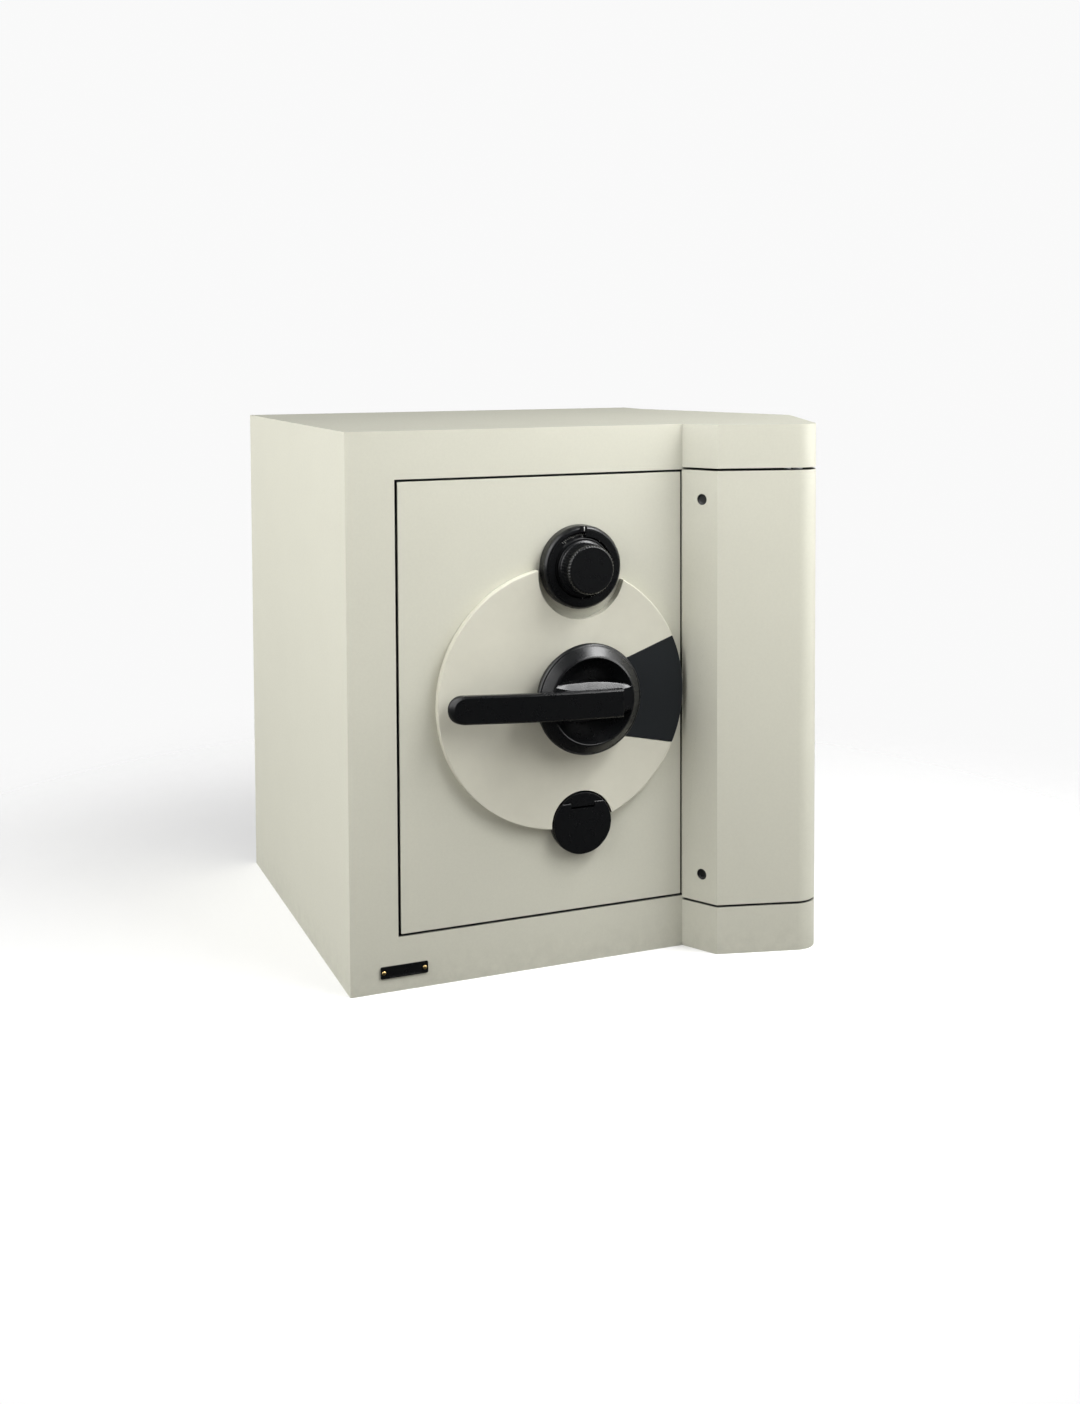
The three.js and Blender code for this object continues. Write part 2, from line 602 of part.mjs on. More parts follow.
// ---- handle and boltwork ----
const TOOTH_PITCH = Math.PI * MODULE;
const TOOTH = { tip: 2.2, root: 3.3, tipHalf: 1.1, rootHalf: 2.6 };

function pinionOutline() {
  const points = [];
  for (let i = 0; i < PINION_TEETH; i++) {
    const at = (i * 2 * Math.PI) / PINION_TEETH;
    const corner = (radius, half) => {
      const angle = at + half / radius;
      return [radius * Math.cos(angle), radius * Math.sin(angle)];
    };
    const low = PINION_RADIUS - TOOTH.root;
    const high = PINION_RADIUS + TOOTH.tip;
    points.push(corner(low, -TOOTH.rootHalf), corner(high, -TOOTH.tipHalf));
    points.push(corner(high, TOOTH.tipHalf), corner(low, TOOTH.rootHalf));
  }
  return points;
}

// A rack lying along x above the pinion, its teeth pointing down and its gaps in line with x = 0.
function rackOutline([from, to], thickness) {
  const first = Math.ceil((from + 2) / TOOTH_PITCH - 0.5);
  const last = Math.floor((to - 2) / TOOTH_PITCH - 0.5);
  const low = PINION_RADIUS + TOOTH.root;
  const tip = PINION_RADIUS - TOOTH.tip;
  const points = [];
  for (let i = first; i <= last; i++) {
    const at = (i + 0.5) * TOOTH_PITCH;
    points.push([at - TOOTH.rootHalf, low], [at - TOOTH.tipHalf, tip]);
    points.push([at + TOOTH.tipHalf, tip], [at + TOOTH.rootHalf, low]);
  }
  return [[from, low], ...points, [to, low], [to, low + thickness], [from, low + thickness]];
}

const LEVER = { root: 28.5, tip: -164, front: -66, back: -47, fall: 38, bow: 6, width: 24, edge: 4 };

// Lever in side view: x along it, y towards the front. Its back clears the trim disc.
function leverBar() {
  const { root, tip, front, back, fall, bow, width, edge } = LEVER;
  const tipRound = [[tip, -28], [tip - 4, -22], [tip + 2, -14.5]];
  const backFace = [[-66, -40], [-50, back], [root - 4, back], [root, back - 3], [root, front]];
  const frontFace = Array.from({ length: 9 }, (_, i) => {
    const t = (i + 1) / 10;
    return [root + (tip - root) * t, front + fall * t - bow * Math.sin(Math.PI * t)];
  });
  const bar = new THREE.ExtrudeGeometry(outline([...tipRound, ...backFace, ...frontFace]), {
    depth: width,
    bevelEnabled: true,
    bevelThickness: edge,
    bevelSize: 2.5,
    bevelOffset: -2.5,
    bevelSegments: 1,
  });
  return solidOf(bar.translate(0, 0, -width / 2));
}

// The hub is a coned ring with a finger scoop above and below the bridge that the lever sits on.
function handle(door) {
  const turning = controlGroup(door, HANDLE_Z);
  const ring = turned([[0, -44], [50.3, -44], [64.6, -33], [64.6, -27], [57, -21], [57, -12], [0, -12]]);
  const scoops = cut(
    turned([[0, -50], [50, -50], [49.5, -43], [42, -27], [30, -20], [0, -20]]),
    block([-60, 60], [-60, -10], [-16, 16]),
  );
  const seat = block([-40, LEVER.root - 4], [LEVER.back + GAP, -20], [-14, 14]);
  const hub = cut(join(cut(ring, scoops), seat), rod("y", 8.3, [0, 0], [-30, -5]));
  piece(turning, "handle_hub", hub, blackPlastic);
  piece(turning, "handle_lever", leverBar(), blackPlastic);

  piece(turning, "handle_spindle", rod("y", 8, [0, 0], [-29.5, 72]), steel);
  const pinion = cut(plate(pinionOutline(), [46, 68]), rod("y", 8.3, [0, 0], [40, 75]));
  piece(turning, "drive_pinion", pinion, hardSteel);
}

function boltwork(door) {
  const shifted = (points, turn) =>
    points.map(([x, z]) => (turn ? turn(x, z) : [x, z])).map(([x, z]) => [x + LOCK_X, z + HANDLE_Z]);
  const bar = [-158, -148];
  const arm = (z) => block([bar[1] - 1, 8], depth(LAYER_A), z);
  const stop = (z) => block([0, 8], depth([LAYER_A[0], LOCK_BOLT.depth[1] - 1]), z);
  const boltY = FRONT + BOLT_DEPTH;

  const spigotHoles = Object.values(BOLT_HEIGHTS).map((z) =>
    rod("x", 5.3, [boltY, z], [bar[0] - 5, bar[1] + 5], 16),
  );
  const carriage = cut(
    join(
      block(bar, depth([46, 66]), [134, 502]),
      plate(shifted(rackOutline([bar[1] - 1 - LOCK_X, 36], 12)), depth(LAYER_A)),
      arm([394, 404]),
      stop([403, 423]),
      arm([232, 242]),
      stop([215, 233]),
    ),
    ...spigotHoles,
  );
  piece(door, "bolt_carriage", carriage, steel);
  for (const [name, z] of Object.entries(BOLT_HEIGHTS)) {
    const bolt = join(
      rod("x", BOLT_RADIUS, [boltY, z], [-206, bar[0] - GAP]),
      rod("x", 5, [boltY, z], [bar[0] - 2, bar[1] + 3], 16),
    );
    piece(door, `bolt_${name}`, bolt, steel);
  }

  // The upright bars carry racks on the two sides of the pinion, one running up and one running down.
  const rack = rackOutline([-9, 36], 10);
  const upRack = plate(shifted(rack, (x, z) => [z, -x]), depth(LAYER_B));
  const downRack = plate(shifted(rack, (x, z) => [-z, x]), depth(LAYER_B));
  const inner = PINION_RADIUS + TOOTH.root;
  const topBar = join(
    upRack,
    block([LOCK_X + inner, TOP_BOLT_X + 8], depth(LAYER_B), [HANDLE_Z + 7, HANDLE_Z + 22]),
    block([TOP_BOLT_X - 8, TOP_BOLT_X + 8], depth(LAYER_B), [HANDLE_Z + 7, 522]),
    rod("z", BOLT_RADIUS, [TOP_BOLT_X, boltY], [512, PLUG.z[1] - 1]),
  );
  const bottomBar = join(
    downRack,
    block([BOTTOM_BOLT_X - 8, LOCK_X - inner], depth(LAYER_B), [HANDLE_Z - 22, HANDLE_Z - 7]),
    block([BOTTOM_BOLT_X - 8, BOTTOM_BOLT_X + 8], depth(LAYER_B), [115, HANDLE_Z - 7]),
    rod("z", BOLT_RADIUS, [BOTTOM_BOLT_X, boltY], [PLUG.z[0] + 1, 125]),
  );
  piece(door, "top_bolt_bar", topBar, steel);
  piece(door, "bottom_bolt_bar", bottomBar, steel);
}

// ---- assembly ----
const safe = new THREE.Group();
const door = new THREE.Group();
safe.add(door);
const cabinet = [outerCasing, barrierFill, doorFrame, doorSeal, interior, anchorPlug, idPlate, hingeOnBody];
const leaf = [doorLeaf, hingeColumn, columnCore, trim, combinationLock, keyLock, handle, boltwork];
for (const build of cabinet) build(safe);
for (const build of leaf) build(door);

export default safe;
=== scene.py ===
"""Looks of a free-standing safe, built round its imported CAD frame. Metres, +Z up, the front faces -Y."""

import json
import math

import bmesh
import bpy
from mathutils import Matrix, Vector


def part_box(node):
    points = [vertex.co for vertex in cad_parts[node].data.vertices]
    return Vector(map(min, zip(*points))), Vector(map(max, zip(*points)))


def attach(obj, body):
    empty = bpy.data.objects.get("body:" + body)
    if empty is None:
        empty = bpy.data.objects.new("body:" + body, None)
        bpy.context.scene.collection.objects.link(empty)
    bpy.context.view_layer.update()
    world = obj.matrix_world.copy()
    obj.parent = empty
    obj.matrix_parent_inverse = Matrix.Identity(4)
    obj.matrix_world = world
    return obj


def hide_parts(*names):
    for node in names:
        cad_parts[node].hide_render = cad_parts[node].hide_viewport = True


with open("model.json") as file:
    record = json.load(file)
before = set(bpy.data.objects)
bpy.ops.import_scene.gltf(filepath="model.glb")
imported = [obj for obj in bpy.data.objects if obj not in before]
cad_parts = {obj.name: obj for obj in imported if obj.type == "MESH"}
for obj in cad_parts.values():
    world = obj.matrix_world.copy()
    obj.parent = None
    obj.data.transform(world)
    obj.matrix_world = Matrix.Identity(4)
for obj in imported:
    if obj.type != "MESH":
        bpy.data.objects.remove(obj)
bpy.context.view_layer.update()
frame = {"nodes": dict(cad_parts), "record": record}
NODES = frame["nodes"]
MM = 0.001

# ---- places, read from the frame ----
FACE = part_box("door_front_plate")[0].y  # the door's front face


def middle_of(node):
    low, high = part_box(node)
    return (low + high) / 2


def on_face(node):
    """The point of the door's face behind a turned control, which is the control's own origin."""
    middle = middle_of(node)
    return Vector((middle.x, FACE, middle.z))


DIAL = on_face("dial_ring")
HUB = on_face("handle_hub")
KEY = on_face("key_escutcheon")


# ---- mesh building ----
def new_piece(name, bm):
    mesh = bpy.data.meshes.new(name)
    bmesh.ops.recalc_face_normals(bm, faces=bm.faces)
    bm.to_mesh(mesh)
    bm.free()
    piece = bpy.data.objects.new(name, mesh)
    bpy.context.scene.collection.objects.link(piece)
    return piece


def turned(name, profile, origin, sides=128, ripple=None):
    """A shape turned about the Y direction through origin. The profile is a list of (radius, y) in mm.

    It starts and ends on the axis or closes on itself. ripple(i, angle) adds to profile point i's radius.
    """
    bm = bmesh.new()
    rings = []
    for i, (radius, y) in enumerate(profile):
        if radius == 0:
            rings.append([bm.verts.new(origin + Vector((0, y * MM, 0)))])
            continue
        ring = []
        for k in range(sides):
            angle = 2 * math.pi * k / sides
            r = (radius + (ripple(i, angle) if ripple else 0)) * MM
            point = Vector((r * math.cos(angle), y * MM, r * math.sin(angle)))
            ring.append(bm.verts.new(origin + point))
        rings.append(ring)
    closed = len(rings[0]) > 1
    for a, b in zip(rings, rings[1:] + rings[:1] if closed else rings[1:]):
        for k in range(sides):
            corners = [a[k % len(a)], a[(k + 1) % len(a)], b[(k + 1) % len(b)], b[k % len(b)]]
            unique = list(dict.fromkeys(corners))
            if len(unique) > 2:
                bm.faces.new(unique)
    return new_piece(name, bm)


def loft(name, loops, origin):
    """One closed solid through a run of loops with the same number of points, in mm from origin."""
    bm = bmesh.new()
    rings = [[bm.verts.new(origin + Vector(point) * MM) for point in loop] for loop in loops]
    bm.faces.new(rings[0])
    bm.faces.new(rings[-1][::-1])
    for a, b in zip(rings, rings[1:]):
        for i in range(len(a)):
            j = (i + 1) % len(a)
            bm.faces.new([a[i], b[i], b[j], a[j]])
    return new_piece(name, bm)


def plate(name, points, ys, origin):
    """A flat outline in x and z, in mm from origin, extruded between two y values in mm."""
    return loft(name, [[(x, y, z) for x, z in points] for y in ys], origin)


def prism_up(name, points, zs, origin):
    """A plan outline in x and y, in mm from origin, extruded between two heights."""
    return loft(name, [[(x, y, z) for x, y in points] for z in zs], origin)


def block(name, xs, ys, zs, origin):
    return plate(name, [(xs[0], zs[0]), (xs[1], zs[0]), (xs[1], zs[1]), (xs[0], zs[1])], ys, origin)


def arc(cx, cz, radius, start, end, steps):
    """Points on a circle from one angle to another, in degrees."""
    angles = [math.radians(start + (end - start) * i / steps) for i in range(steps + 1)]
    return [(cx + radius * math.cos(a), cz + radius * math.sin(a)) for a in angles]


def rounded_rectangle(half_x, half_z, radius, steps=6):
    corners = []
    for sign_x, sign_z, start in ((1, 1, 0), (-1, 1, 90), (-1, -1, 180), (1, -1, 270)):
        x, z = sign_x * (half_x - radius), sign_z * (half_z - radius)
        corners += arc(x, z, radius, start, start + 90, steps)
    return corners


def rod_x(name, radius, span, centre, origin, sides=32):
    """A round bar along x. centre is its y and z, in mm from origin."""
    ring = arc(*centre, radius, 0, 360, sides)[:-1]
    return loft(name, [[(x, y, z) for y, z in ring] for x in span], origin)


def settle(piece):
    """Applies the piece's modifiers to its mesh."""
    graph = bpy.context.evaluated_depsgraph_get()
    mesh = bpy.data.meshes.new_from_object(piece.evaluated_get(graph))
    piece.modifiers.clear()
    piece.data = mesh
    return piece


def combine(piece, tool, operation):
    """Cuts a piece with a tool, joins the two, or keeps what they share. The tool is used up."""
    modifier = piece.modifiers.new("combine", "BOOLEAN")
    modifier.object = tool
    modifier.operation = operation
    modifier.solver = "EXACT"
    settle(piece)
    bpy.data.objects.remove(tool)
    return piece


def cut(piece, *tools):
    for tool in tools:
        combine(piece, tool, "DIFFERENCE")
    return piece


def round_edges(piece, width, segments=3, angle=28):
    """Merges flat facets, rounds the sharp edges and weights the normals, all as modifiers."""
    weld = piece.modifiers.new("weld", "WELD")
    weld.merge_threshold = 0.01 * MM
    merge = piece.modifiers.new("flat facets", "DECIMATE")
    merge.decimate_type = "DISSOLVE"
    merge.angle_limit = math.radians(0.8)
    bevel = piece.modifiers.new("rounded edges", "BEVEL")
    bevel.width = width * MM
    bevel.segments = segments
    bevel.limit_method = "ANGLE"
    bevel.angle_limit = math.radians(angle)
    bevel.miter_outer = "MITER_ARC"
    bevel.use_clamp_overlap = True
    normals = piece.modifiers.new("weighted normals", "WEIGHTED_NORMAL")
    normals.keep_sharp = True
    for face in piece.data.polygons:
        face.use_smooth = True
    return piece


def finished(piece, body, nodes, slot):
    """Puts a finished piece on its CAD body, in place of its CAD nodes, with the slot's material."""
    for face in piece.data.polygons:
        face.use_smooth = True
    piece.data.materials.clear()
    piece.data.materials.append(MATERIALS[slot])
    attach(piece, body)
    if nodes:
        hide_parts(*nodes)
    return piece


# ---- materials ----
def material_nodes(name):
    material = bpy.data.materials.new(name)
    material.use_nodes = True
    tree = material.node_tree
    return material, tree, tree.nodes["Principled BSDF"]


def add(tree, kind, inputs=None, **settings):
    node = tree.nodes.new(kind)
    for key, value in settings.items():
        setattr(node, key, value)
    for key, value in (inputs or {}).items():
        if isinstance(value, bpy.types.NodeSocket):
            tree.links.new(value, node.inputs[key])
        else:
            node.inputs[key].default_value = value
    return node


def place(tree, scale=(1, 1, 1)):
    """Object coordinates, stretched."""
    coordinates = add(tree, "ShaderNodeTexCoord")
    mapping = add(tree, "ShaderNodeMapping", {"Vector": coordinates.outputs["Object"], "Scale": scale})
    return mapping.outputs["Vector"]


def noise(tree, where, scale, detail=3.0, roughness=0.5):
    inputs = {"Vector": where, "Scale": scale, "Detail": detail, "Roughness": roughness}
    return add(tree, "ShaderNodeTexNoise", inputs).outputs["Fac"]


def ramp(tree, value, low, high, to_low, to_high):
    inputs = {"Value": value, "From Min": low, "From Max": high, "To Min": to_low, "To Max": to_high}
    return add(tree, "ShaderNodeMapRange", inputs).outputs["Result"]


def blended(tree, factor, first, second):
    node = add(tree, "ShaderNodeMix", data_type="RGBA")
    tree.links.new(factor, node.inputs["Factor"])
    for socket, value in zip(("A", "B"), (first, second)):
        target = next(s for s in node.inputs if s.name == socket and s.type == "RGBA")
        if isinstance(value, bpy.types.NodeSocket):
            tree.links.new(value, target)
        else:
            target.default_value = value
    return next(s for s in node.outputs if s.type == "RGBA")


def bumped(tree, shader, height, distance, strength=1.0):
    inputs = {"Height": height, "Distance": distance * MM, "Strength": strength}
    bump = add(tree, "ShaderNodeBump", inputs)
    tree.links.new(bump.outputs["Normal"], shader.inputs["Normal"])


def shade(colour, factor):
    return tuple(c * factor for c in colour[:3]) + (1.0,)


def painted_gap_shade(tree, base, dark):
    """Painted shade: darkens narrow gaps and seams by ambient occlusion, towards the dark colour."""
    hidden = add(tree, "ShaderNodeAmbientOcclusion", {"Distance": 0.012}, samples=8)
    amount = ramp(tree, hidden.outputs["AO"], 0.2, 0.48, 1.0, 0.0)
    return blended(tree, amount, base, dark)


def painted(name, colour, roughness, peel=0.035, mottle=0.03, darkening_near_floor=0.0, dust_and_top_shade=0.0):
    """Powder coat: orange peel, a faint mottle, darker streaks near the floor, painted shade in gaps and on
    what faces up.
    """
    material, tree, shader = material_nodes(name)
    where = place(tree)
    cloud = noise(tree, where, 9.0, 4.0, 0.6)
    base = blended(tree, cloud, shade(colour, 1 - mottle), shade(colour, 1 + mottle))
    speckle = ramp(tree, noise(tree, where, 330.0, 3.0, 0.6), 0.35, 0.65, 0.0, 0.1)
    base = blended(tree, speckle, base, shade(colour, 0.78))
    # Darker in noisy streaks within 5 cm of the floor.
    if darkening_near_floor:
        height = add(tree, "ShaderNodeSeparateXYZ", {"Vector": where}).outputs["Z"]
        near_floor = ramp(tree, height, 0.0, 0.05, darkening_near_floor, 0.0)
        streaks = ramp(tree, noise(tree, where, 60.0, 5.0, 0.7), 0.35, 0.7, 0.0, 1.0)
        amount = add(tree, "ShaderNodeMath", {0: near_floor, 1: streaks}, operation="MULTIPLY")
        base = blended(tree, amount.outputs[0], base, shade(colour, 0.55))
    # Painted shade: faces that point up are darkened by this amount, towards 0.4 of the colour.
    if dust_and_top_shade:
        facing = add(tree, "ShaderNodeNewGeometry").outputs["True Normal"]
        upward = add(tree, "ShaderNodeSeparateXYZ", {"Vector": facing}).outputs["Z"]
        base = blended(tree, ramp(tree, upward, 0.9, 1.0, 0.0, dust_and_top_shade), base, shade(colour, 0.4))
    # Painted shade in narrow gaps and seams.
    base = painted_gap_shade(tree, base, shade(colour, 0.02))
    tree.links.new(base, shader.inputs["Base Color"])
    fine = noise(tree, where, 950.0, 2.0, 0.5)
    coarse = noise(tree, where, 260.0, 2.0, 0.5)
    both = add(tree, "ShaderNodeMath", {0: fine, 1: coarse}, operation="ADD").outputs[0]
    bumped(tree, shader, both, peel)
    rough = ramp(tree, noise(tree, where, 420.0, 3.0, 0.6), 0.3, 0.7, roughness - 0.05, roughness + 0.07)
    tree.links.new(rough, shader.inputs["Roughness"])
    return material


def moulded(name, colour, roughness, grain=0.0012, specular=0.5):
    """Moulded plastic with a fine spark-eroded grain and slight handling marks."""
    material, tree, shader = material_nodes(name)
    where = place(tree)
    cloud = noise(tree, where, 25.0, 4.0, 0.6)
    base = blended(tree, cloud, shade(colour, 0.93), shade(colour, 1.07))
    tree.links.new(base, shader.inputs["Base Color"])
    bumped(tree, shader, noise(tree, where, 2200.0, 2.0, 0.6), grain)
    marks = noise(tree, where, 110.0, 6.0, 0.7)
    rough = ramp(tree, marks, 0.35, 0.7, roughness - 0.015, roughness + 0.03)
    tree.links.new(rough, shader.inputs["Roughness"])
    shader.inputs["Specular IOR Level"].default_value = specular
    return material


def metal(name, colour, roughness, brushed=(1, 1, 1), grain=0.004, tarnish=0.12):
    """Bare metal, brushed along the direction in which the coordinates are stretched least."""
    material, tree, shader = material_nodes(name)
    where = place(tree, brushed)
    lines = noise(tree, where, 320.0, 4.0, 0.65)
    cloud = noise(tree, place(tree), 22.0, 5.0, 0.6)
    base = blended(tree, cloud, shade(colour, 1 - tarnish), shade(colour, 1 + tarnish / 2))
    tree.links.new(base, shader.inputs["Base Color"])
    rough = ramp(tree, lines, 0.3, 0.7, roughness - 0.08, roughness + 0.1)
    tree.links.new(rough, shader.inputs["Roughness"])
    bumped(tree, shader, lines, grain)
    shader.inputs["Metallic"].default_value = 1.0
    return material


def concrete(name):
    """Cast barrier filling: sandy paste with darker aggregate and pores."""
    material, tree, shader = material_nodes(name)
    where = place(tree)
    stones = add(tree, "ShaderNodeTexVoronoi", {"Vector": where, "Scale": 130.0}).outputs["Distance"]
    sand = noise(tree, where, 700.0, 5.0, 0.7)
    paste = blended(tree, sand, (0.25, 0.24, 0.22, 1), (0.42, 0.41, 0.38, 1))
    base = blended(tree, ramp(tree, stones, 0.15, 0.3, 0.6, 0.0), paste, (0.16, 0.15, 0.14, 1))
    tree.links.new(base, shader.inputs["Base Color"])
    both = add(tree, "ShaderNodeMath", {0: stones, 1: sand}, operation="ADD").outputs[0]
    bumped(tree, shader, both, 0.4)
    shader.inputs["Roughness"].default_value = 0.92
    return material


def rubber(name):
    """Matt seal strip with a fine dusty mottle."""
    material, tree, shader = material_nodes(name)
    where = place(tree)
    dust_and_top_shade = ramp(tree, noise(tree, where, 180.0, 6.0, 0.7), 0.4, 0.75, 0.0, 0.35)
    base = blended(tree, dust_and_top_shade, (0.018, 0.018, 0.018, 1), (0.09, 0.088, 0.082, 1))
    tree.links.new(base, shader.inputs["Base Color"])
    bumped(tree, shader, noise(tree, where, 900.0, 3.0, 0.6), 0.03)
    shader.inputs["Roughness"].default_value = 0.85
    return material


MATERIALS = {
    # The paints carry painted shade in gaps; the cream one also on faces that point up, and darker streaks
    # near the floor.
    "cream_paint": painted("cream_paint", (0.68, 0.675, 0.575, 1), 0.42, darkening_near_floor=0.25, dust_and_top_shade=0.48),
    "grey_paint": painted("grey_paint", (0.27, 0.285, 0.295, 1), 0.5, peel=0.05, mottle=0.06),
    "ivory_plastic": moulded("ivory_plastic", (0.685, 0.672, 0.57, 1), 0.5, grain=0.002, specular=0.3),
    "black_plastic": moulded("black_plastic", (0.005, 0.0054, 0.006, 1), 0.28, specular=0.45),
    "slate_plastic": moulded("slate_plastic", (0.013, 0.0155, 0.018, 1), 0.45, specular=0.4),
    "seal_rubber": rubber("seal_rubber"),
    "concrete_fill": concrete("concrete_fill"),
    "bright_steel": metal("bright_steel", (0.62, 0.63, 0.64, 1), 0.28, (1, 1, 0.08)),
    "plain_steel": metal("plain_steel", (0.46, 0.46, 0.46, 1), 0.4, (1, 1, 0.15), tarnish=0.2),
    "hard_steel": metal("hard_steel", (0.16, 0.165, 0.17, 1), 0.5, grain=0.02, tarnish=0.3),
    "brass": metal("brass", (0.72, 0.52, 0.22, 1), 0.3, (0.2, 1, 1)),
}
MARKS = moulded("white_marks", (0.75, 0.75, 0.72, 1), 0.5)


# ---- CAD nodes that stay: a finish, and rounded edges where they are steel work ----
EDGE_RADII = {  # mm; the rest get the small one
    "outer_casing": 1.1,
    "door_front_plate": 0.8,
    "hinge_column": 0.9,
    "back_cover": 1.0,
    "door_pan": 0.8,
    "barrier_fill": 0.2,
}
SMALL_EDGE = 0.4


def dress_frame():
    for part in frame["record"]["subparts"]:
        name = part["node"]
        node = NODES[name]
        node.data.materials.clear()
        node.data.materials.append(MATERIALS[part["material_slot"]])
        round_edges(node, EDGE_RADII.get(name, SMALL_EDGE))


# ---- trim plate ----
TRIM_FRONT = -10.3  # y of the trim's front from the door's face, in mm
TRIM_BACK = -0.3
TRIM_EDGE = 1.5  # rounding of the disc's rim
CUT_EDGE = 0.8
DIAL_NOTCH = (DIAL - Vector((0, 0, 0.007)), 54)  # centre and radius in mm
KEY_NOTCH = (KEY, 38.3)
HUB_HOLE = (HUB, 20)
THROUGH = (-20, 10)  # depths that reach past both faces of the trim
JOINT_HALF = 0.25  # half of the gap between disc and sector


def through(origin, radius):
    front, back = THROUGH
    return turned("tool", [(0, front), (radius, front), (radius, back), (0, back)], origin)


def trim():
    low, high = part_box("trim_disc")
    radius = (high.z - low.z) / 2 / MM
    centre = Vector((low.x + radius * MM, FACE, (low.z + high.z) / 2))

    quarter = [math.radians(90 - 15 * i) for i in range(7)]
    bend = [
        (
            radius - TRIM_EDGE + TRIM_EDGE * math.cos(a),
            TRIM_FRONT + TRIM_EDGE - TRIM_EDGE * math.sin(a),
        )
        for a in quarter
    ]
    rim = [(0, TRIM_FRONT), *bend, (radius, TRIM_BACK), (0, TRIM_BACK)]

    def notches():
        return [through(origin, size) for origin, size in (DIAL_NOTCH, KEY_NOTCH, HUB_HOLE)]

    # The sector's two straight edges, in mm from the disc's centre: its root is behind the hub.
    root_x, edge_x = 48.0, 258.0
    root_z, edge_z = (-45.4, 29.7), (-90.0, 107.0)

    def wedge(grow):
        points = [
            (root_x, root_z[0] - grow),
            (edge_x, edge_z[0] - grow),
            (edge_x, edge_z[1] + grow),
            (root_x, root_z[1] + grow),
        ]
        return plate("tool", points, THROUGH, centre)

    disc = cut(turned("trim_disc_face", rim, centre, 240), wedge(JOINT_HALF), *notches())
    sector = combine(turned("trim_sector_face", rim, centre, 240), wedge(-JOINT_HALF), "INTERSECT")
    sector = cut(sector, through(*HUB_HOLE))
    for piece, node, slot in (
        (disc, "trim_disc", "ivory_plastic"),
        (sector, "trim_sector", "slate_plastic"),
    ):
        settle(round_edges(piece, CUT_EDGE, 4, 40))
        finished(piece, "door", [node], slot)


# ---- combination dial ----
RING_RADIUS = 48.7
SHROUD_OUTER = 43.6
SHROUD_INNER = 36.0
WINDOW = (86, 134)  # degrees round from +X: where the shroud shows the graduations
GRADUATIONS = 100
KNOB_RADIUS = 29.0
FLUTES = 48
FLUTED_POINTS = (6, 7, 8, 9)  # of the knob's profile
FLUTE_DEPTH = 0.7


def fluted(points, depth):
    """A ripple that cuts flutes into the given profile points."""
    return lambda i, angle: -depth * (0.5 - 0.5 * math.cos(FLUTES * angle)) if i in points else 0.0


def dial():
    ring_profile = [
        (9, -0.3), (RING_RADIUS, -0.3), (RING_RADIUS, -10.8), (48.2, -12.4), (46.6, -14.8), (45.4, -15.8),
        (44.2, -16.2), (41.8, -16.2), (41.2, -15.8), (41, -15.0), (41, -3), (9, -3),
    ]
    ring = turned("dial_ring_body", ring_profile, DIAL, 160)
    start, end = WINDOW
    steps = 90
    outer = arc(0, 0, SHROUD_OUTER, end, start + 360, steps)
    inner = arc(0, 0, SHROUD_INNER, start + 360, end, steps)
    shroud = plate("tool", outer + inner, (-17.0, -15.9), DIAL)
    combine(ring, shroud, "UNION")
    tab = block("tool", (-3.6, 3.6), (-18.4, -12.0), (41.5, 48.4), DIAL)
    combine(ring, tab, "UNION")
    settle(round_edges(ring, 0.45, 3, 35))
    finished(ring, "door", ["dial_ring"], "black_plastic")

    index = block("dial_index_line", (-0.45, 0.45), (-18.55, -18.2), (42.2, 47.6), DIAL)
    finished(index, "door", [], "ivory_plastic")
    index.data.materials[0] = MARKS

    flange_profile = [
        (0, -15.2), (33.2, -15.2), (34.2, -14.8), (39.4, -9.6), (40, -8.6), (40, -4.6), (39.4, -4), (0, -4),
    ]
    flange = turned("dial_flange_body", flange_profile, DIAL, 200)
    finished(settle(round_edges(flange, 0.2, 2, 20)), "dial", ["dial_flange"], "black_plastic")
    graduations()

    knob_profile = [
        (0, -40), (20, -40), (21, -39.6), (24.2, -39.6), (25.4, -39.9), (26.4, -39.6), (27.6, -38.6),
        (28.6, -37.2), (KNOB_RADIUS, -35.5), (KNOB_RADIUS, -19.5), (KNOB_RADIUS, -18.6), (30.2, -17.6),
        (31.2, -17.2), (31.6, -16.6), (31.6, -15.4), (0, -15.4),
    ]
    knob = turned("dial_knob_body", knob_profile, DIAL, FLUTES * 8, fluted(FLUTED_POINTS, FLUTE_DEPTH))
    finished(settle(round_edges(knob, 0.1, 1, 60)), "dial", ["dial_knob"], "black_plastic")


def graduations():
    """White division lines on the flange's conical edge, the fives and tens longer."""
    bm = bmesh.new()
    slope = Vector((5.2, 5.2)).normalized()  # outwards and backwards along the cone
    for i in range(GRADUATIONS):
        angle = math.radians(90 - 360 * i / GRADUATIONS)
        length = 4.6 if i % 10 == 0 else 3.4 if i % 5 == 0 else 2.6
        half = 0.4 if i % 10 == 0 else 0.28
        radial = Vector((math.cos(angle), 0, math.sin(angle)))
        across = Vector((-radial.z, 0, radial.x)) * half
        outward = (radial * slope.y - Vector((0, slope.x, 0))) * 0.12
        far = radial * 38.9 + Vector((0, -10.1, 0))
        near = far - (radial * slope.x + Vector((0, slope.y, 0))) * length
        base = [far - across, far + across, near + across, near - across]
        low = [bm.verts.new(DIAL + (p - outward) * MM) for p in base]
        high = [bm.verts.new(DIAL + (p + outward) * MM) for p in base]
        bm.faces.new(high)
        bm.faces.new(low[::-1])
        for k in range(4):
            bm.faces.new([low[k], low[(k + 1) % 4], high[(k + 1) % 4], high[k]])
    marks = new_piece("dial_graduations", bm)
    finished(marks, "dial", [], "ivory_plastic")
    marks.data.materials[0] = MARKS


